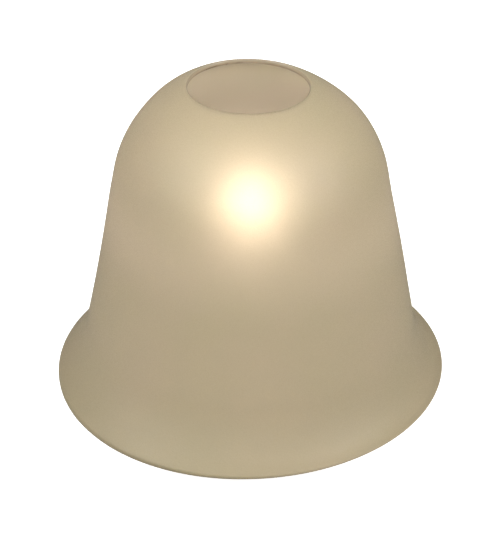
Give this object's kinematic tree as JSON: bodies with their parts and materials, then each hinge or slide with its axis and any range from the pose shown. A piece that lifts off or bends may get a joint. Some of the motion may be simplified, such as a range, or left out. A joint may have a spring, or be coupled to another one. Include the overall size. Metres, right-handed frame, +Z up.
{
  "type": "glass bell lamp",
  "caption": "Frosted pale amber glass bell shade with an open crown, standing over a low round base that holds a capsule bulb.",
  "frame": {"origin": "middle of the felt foot, on the table", "axes": "+Z up along the bell's axis; -Y is the front, +Y is the back, where the cord goes in; X to the right"},
  "size_m": [0.1438, 0.1438, 0.1199],
  "materials": {
    "frosted_glass": "frosted inside and satin outside, pale amber-beige",
    "ivory_shell": "moulded, fine matte grain",
    "silicone": "soft translucent silicone",
    "iron": "black painted casting",
    "zinc_plate": "zinc plated sheet",
    "felt": "pressed felt",
    "zinc_screw": "zinc plated",
    "bush_rubber": "matte",
    "terminal_plastic": "translucent white polyamide",
    "brass": "turned, satin",
    "steatite": "unglazed steatite",
    "contact_strip": "rolled strip",
    "brown_sleeve": "silicone insulation",
    "blue_sleeve": "silicone insulation",
    "bulb_glass": "etched capsule, lit",
    "pinch_glass": "pressed quartz",
    "molybdenum": "drawn wire and foil",
    "tungsten": "glowing coil"
  },
  "bodies": {
    "base": {"base_shell": "ivory_shell", "seat_ring": "silicone", "ballast_ring": "iron", "bottom_plate": "zinc_plate", "felt_pad": "felt", "cover_screw_1": "zinc_screw", "cover_screw_2": "zinc_screw", "cover_screw_3": "zinc_screw", "cord_inlet": "bush_rubber", "terminal_block": "terminal_plastic", "terminal_tube_1": "brass", "terminal_tube_2": "brass", "terminal_screw_1": "zinc_screw", "terminal_screw_2": "zinc_screw", "terminal_screw_3": "zinc_screw", "terminal_screw_4": "zinc_screw", "block_screw": "zinc_screw", "nipple": "brass", "nipple_washer": "zinc_screw", "nipple_nut": "brass", "collar": "brass", "bracket_nut": "brass", "holder_bracket": "zinc_plate", "holder_body": "steatite", "holder_screw_1": "zinc_screw", "holder_screw_2": "zinc_screw", "contact_1": "contact_strip", "contact_2": "contact_strip", "wire_1": "brown_sleeve", "wire_2": "blue_sleeve"},
    "shade": {"bell_shade": "frosted_glass"},
    "bulb": {"bulb_envelope": "bulb_glass", "bulb_pinch": "pinch_glass", "bulb_foil_1": "molybdenum", "bulb_foil_2": "molybdenum", "bulb_pin_1": "molybdenum", "bulb_pin_2": "molybdenum", "bulb_lead_1": "molybdenum", "bulb_lead_2": "molybdenum", "bulb_filament": "tungsten", "bulb_hook_1": "molybdenum", "bulb_hook_2": "molybdenum"}
  },
  "joints": [
    {"name": "shade_lift", "type": "slide", "parent": "base", "child": "shade", "axis": [0, 0, 1], "range_m": [0, 0.12]},
    {"name": "bulb_pull", "type": "slide", "parent": "base", "child": "bulb", "axis": [0, 0, 1], "range_m": [0, 0.02]}
  ]
}
